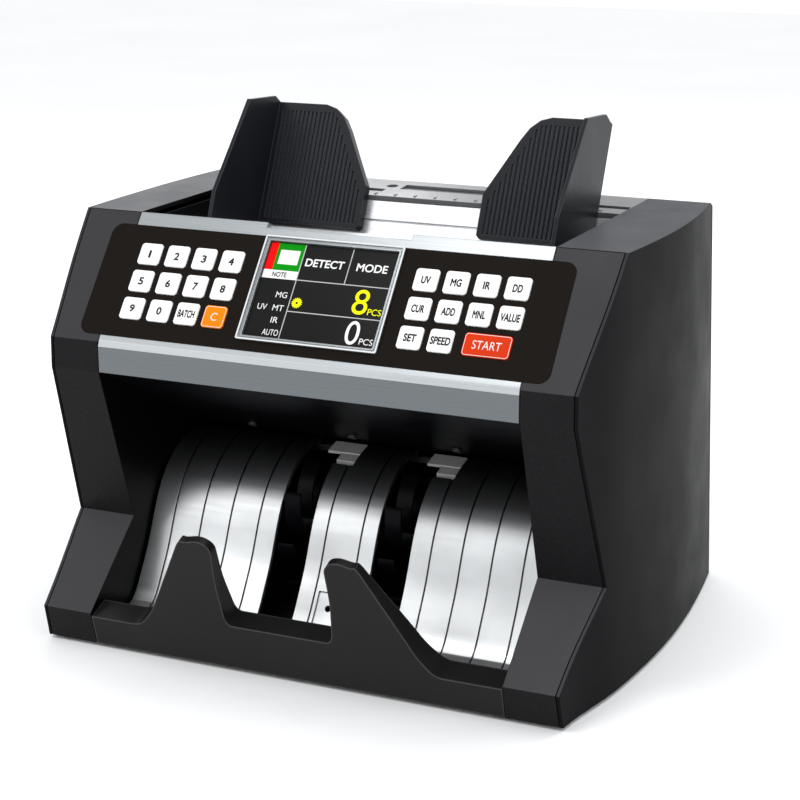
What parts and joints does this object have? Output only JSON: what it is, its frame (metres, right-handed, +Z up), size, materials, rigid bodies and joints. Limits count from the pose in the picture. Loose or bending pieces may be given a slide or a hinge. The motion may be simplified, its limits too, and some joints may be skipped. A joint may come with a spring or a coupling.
{
  "type": "banknote counter",
  "caption": "Desktop banknote counter with a top hopper between sliding guides, a sloping key panel with display, and a front stacker pocket with a fingered tray.",
  "frame": {"origin": "centre of the bounding box footprint, at the underside of the rubber feet", "axes": "+Z up, -Y towards the operator (key panel and stacker pocket face -Y), +X to the operator's right"},
  "size_m": [0.3125, 0.2686, 0.2722],
  "materials": {
    "cover_plastic": "satin charcoal",
    "front_plastic": "fine speckled dark grey",
    "silver_plastic": "silver paint, satin",
    "overlay_film": "satin film, printed",
    "screen_glass": "glossy, lit display",
    "key_plastic": "satin white",
    "key_orange": "satin orange",
    "key_red": "satin red-orange",
    "black_plastic": "satin black",
    "fin_plastic": "glossy silver grey",
    "white_plastic": "satin white",
    "guide_plastic": "satin charcoal",
    "sensor_lens": "milky white lens",
    "sheet_steel": "zinc grey",
    "bearing_steel": "polished",
    "wheel_rubber": "matt rubber",
    "motor_metal": "dark zinc",
    "circuit_board": "green solder mask",
    "inlet_plastic": "black"
  },
  "bodies": {
    "chassis": {"base_pan": "sheet_steel", "rubber_feet": "wheel_rubber", "left_frame_plate": "sheet_steel", "right_frame_plate": "sheet_steel", "left_side_cover": "cover_plastic", "right_side_cover": "cover_plastic", "left_front_cover": "front_plastic", "right_front_cover": "front_plastic", "rear_cover": "cover_plastic", "cover_screws": "bearing_steel", "top_rear_cover": "cover_plastic", "front_fascia": "silver_plastic", "panel_overlay": "overlay_film", "display_frame": "silver_plastic", "display_screen": "screen_glass", "keypad_board": "circuit_board", "note_tray": "black_plastic", "stacker_fins": "fin_plastic", "pocket_housing": "black_plastic", "exit_sensors": "sensor_lens", "hopper_plate": "white_plastic", "hopper_liner": "black_plastic", "shaft_bearings": "bearing_steel", "main_motor": "motor_metal", "main_board": "circuit_board", "power_inlet": "inlet_plastic", "drive_belts": "wheel_rubber"},
    "right_guide": {"right_hopper_guide": "guide_plastic"},
    "left_guide": {"left_hopper_guide": "guide_plastic"},
    "feed": {"feed_rollers": "wheel_rubber"},
    "pickup": {"pickup_rollers": "wheel_rubber"},
    "motor_rotor": {"motor_pulley": "motor_metal"},
    "stacker": {"stacker_shaft": "bearing_steel", "stacker_wheels": "wheel_rubber"},
    "handle": {"carry_handle": "guide_plastic"},
    "rocker": {"power_switch": "inlet_plastic"},
    "adjuster": {"thickness_adjuster": "black_plastic"},
    "key_1_body": {"key_1": "key_plastic"},
    "key_2_body": {"key_2": "key_plastic"},
    "key_3_body": {"key_3": "key_plastic"},
    "key_4_body": {"key_4": "key_plastic"},
    "key_5_body": {"key_5": "key_plastic"},
    "key_6_body": {"key_6": "key_plastic"},
    "key_7_body": {"key_7": "key_plastic"},
    "key_8_body": {"key_8": "key_plastic"},
    "key_9_body": {"key_9": "key_plastic"},
    "key_0_body": {"key_0": "key_plastic"},
    "key_batch_body": {"key_batch": "key_plastic"},
    "key_c_body": {"key_c": "key_orange"},
    "key_uv_body": {"key_uv": "key_plastic"},
    "key_mg_body": {"key_mg": "key_plastic"},
    "key_ir_body": {"key_ir": "key_plastic"},
    "key_dd_body": {"key_dd": "key_plastic"},
    "key_cur_body": {"key_cur": "key_plastic"},
    "key_add_body": {"key_add": "key_plastic"},
    "key_mnl_body": {"key_mnl": "key_plastic"},
    "key_value_body": {"key_value": "key_plastic"},
    "key_set_body": {"key_set": "key_plastic"},
    "key_speed_body": {"key_speed": "key_plastic"},
    "key_start_body": {"key_start": "key_red"}
  },
  "joints": [
    {"name": "right_guide_slide", "type": "slide", "parent": "chassis", "child": "right_guide", "axis": [1, 0, 0], "range_m": [-0.028, 0.012]},
    {"name": "left_guide_slide", "type": "slide", "parent": "chassis", "child": "left_guide", "axis": [1, 0, 0], "range_m": [-0.012, 0.028]},
    {"name": "handle_lift", "type": "slide", "parent": "chassis", "child": "handle", "axis": [0, 0, 1], "range_m": [0, 0.03]},
    {"name": "feed_spin", "type": "hinge", "parent": "chassis", "child": "feed", "pos_m": [-0.003, -0.01648, 0.124], "axis": [1, 0, 0], "continuous": true},
    {"name": "stacker_spin", "type": "hinge", "parent": "chassis", "child": "stacker", "pos_m": [-0.003, -0.02748, 0.053], "axis": [1, 0, 0], "continuous": true},
    {"name": "pickup_spin", "type": "hinge", "parent": "chassis", "child": "pickup", "pos_m": [-0.003, 0.00652, 0.136], "axis": [1, 0, 0], "continuous": true},
    {"name": "motor_spin", "type": "hinge", "parent": "chassis", "child": "motor_rotor", "pos_m": [-0.003, 0.06152, 0.068], "axis": [1, 0, 0], "continuous": true},
    {"name": "power_rocker", "type": "hinge", "parent": "chassis", "child": "rocker", "pos_m": [-0.075, 0.13152, 0.049], "axis": [1, 0, 0], "range_deg": [0, 16]},
    {"name": "thickness_turn", "type": "hinge", "parent": "chassis", "child": "adjuster", "pos_m": [-0.034, 0.07852, 0.213], "axis": [0, 0, 1], "range_deg": [-170, 170]},
    {"name": "key_1_press", "type": "slide", "parent": "chassis", "child": "key_1_body", "axis": [0, 0.7834, -0.6215], "range_m": [0, 0.001], "stiffness_N_per_m": 400},
    {"name": "key_2_press", "type": "slide", "parent": "chassis", "child": "key_2_body", "axis": [0, 0.7834, -0.6215], "range_m": [0, 0.001], "stiffness_N_per_m": 400},
    {"name": "key_3_press", "type": "slide", "parent": "chassis", "child": "key_3_body", "axis": [0, 0.7834, -0.6215], "range_m": [0, 0.001], "stiffness_N_per_m": 400},
    {"name": "key_4_press", "type": "slide", "parent": "chassis", "child": "key_4_body", "axis": [0, 0.7834, -0.6215], "range_m": [0, 0.001], "stiffness_N_per_m": 400},
    {"name": "key_5_press", "type": "slide", "parent": "chassis", "child": "key_5_body", "axis": [0, 0.7834, -0.6215], "range_m": [0, 0.001], "stiffness_N_per_m": 400},
    {"name": "key_6_press", "type": "slide", "parent": "chassis", "child": "key_6_body", "axis": [0, 0.7834, -0.6215], "range_m": [0, 0.001], "stiffness_N_per_m": 400},
    {"name": "key_7_press", "type": "slide", "parent": "chassis", "child": "key_7_body", "axis": [0, 0.7834, -0.6215], "range_m": [0, 0.001], "stiffness_N_per_m": 400},
    {"name": "key_8_press", "type": "slide", "parent": "chassis", "child": "key_8_body", "axis": [0, 0.7834, -0.6215], "range_m": [0, 0.001], "stiffness_N_per_m": 400},
    {"name": "key_9_press", "type": "slide", "parent": "chassis", "child": "key_9_body", "axis": [0, 0.7834, -0.6215], "range_m": [0, 0.001], "stiffness_N_per_m": 400},
    {"name": "key_0_press", "type": "slide", "parent": "chassis", "child": "key_0_body", "axis": [0, 0.7834, -0.6215], "range_m": [0, 0.001], "stiffness_N_per_m": 400},
    {"name": "key_batch_press", "type": "slide", "parent": "chassis", "child": "key_batch_body", "axis": [0, 0.7834, -0.6215], "range_m": [0, 0.001], "stiffness_N_per_m": 400},
    {"name": "key_c_press", "type": "slide", "parent": "chassis", "child": "key_c_body", "axis": [0, 0.7834, -0.6215], "range_m": [0, 0.001], "stiffness_N_per_m": 400},
    {"name": "key_uv_press", "type": "slide", "parent": "chassis", "child": "key_uv_body", "axis": [0, 0.7834, -0.6215], "range_m": [0, 0.001], "stiffness_N_per_m": 400},
    {"name": "key_mg_press", "type": "slide", "parent": "chassis", "child": "key_mg_body", "axis": [0, 0.7834, -0.6215], "range_m": [0, 0.001], "stiffness_N_per_m": 400},
    {"name": "key_ir_press", "type": "slide", "parent": "chassis", "child": "key_ir_body", "axis": [0, 0.7834, -0.6215], "range_m": [0, 0.001], "stiffness_N_per_m": 400},
    {"name": "key_dd_press", "type": "slide", "parent": "chassis", "child": "key_dd_body", "axis": [0, 0.7834, -0.6215], "range_m": [0, 0.001], "stiffness_N_per_m": 400},
    {"name": "key_cur_press", "type": "slide", "parent": "chassis", "child": "key_cur_body", "axis": [0, 0.7834, -0.6215], "range_m": [0, 0.001], "stiffness_N_per_m": 400},
    {"name": "key_add_press", "type": "slide", "parent": "chassis", "child": "key_add_body", "axis": [0, 0.7834, -0.6215], "range_m": [0, 0.001], "stiffness_N_per_m": 400},
    {"name": "key_mnl_press", "type": "slide", "parent": "chassis", "child": "key_mnl_body", "axis": [0, 0.7834, -0.6215], "range_m": [0, 0.001], "stiffness_N_per_m": 400},
    {"name": "key_value_press", "type": "slide", "parent": "chassis", "child": "key_value_body", "axis": [0, 0.7834, -0.6215], "range_m": [0, 0.001], "stiffness_N_per_m": 400},
    {"name": "key_set_press", "type": "slide", "parent": "chassis", "child": "key_set_body", "axis": [0, 0.7834, -0.6215], "range_m": [0, 0.001], "stiffness_N_per_m": 400},
    {"name": "key_speed_press", "type": "slide", "parent": "chassis", "child": "key_speed_body", "axis": [0, 0.7834, -0.6215], "range_m": [0, 0.001], "stiffness_N_per_m": 400},
    {"name": "key_start_press", "type": "slide", "parent": "chassis", "child": "key_start_body", "axis": [0, 0.7834, -0.6215], "range_m": [0, 0.001], "stiffness_N_per_m": 400}
  ],
  "couplings": [
    {"joint": "left_guide_slide", "follows": "right_guide_slide", "ratio": -1},
    {"joint": "pickup_spin", "follows": "feed_spin", "ratio": 1},
    {"joint": "motor_spin", "follows": "feed_spin", "ratio": 1.625},
    {"joint": "stacker_spin", "follows": "feed_spin", "ratio": 1.1818}
  ]
}
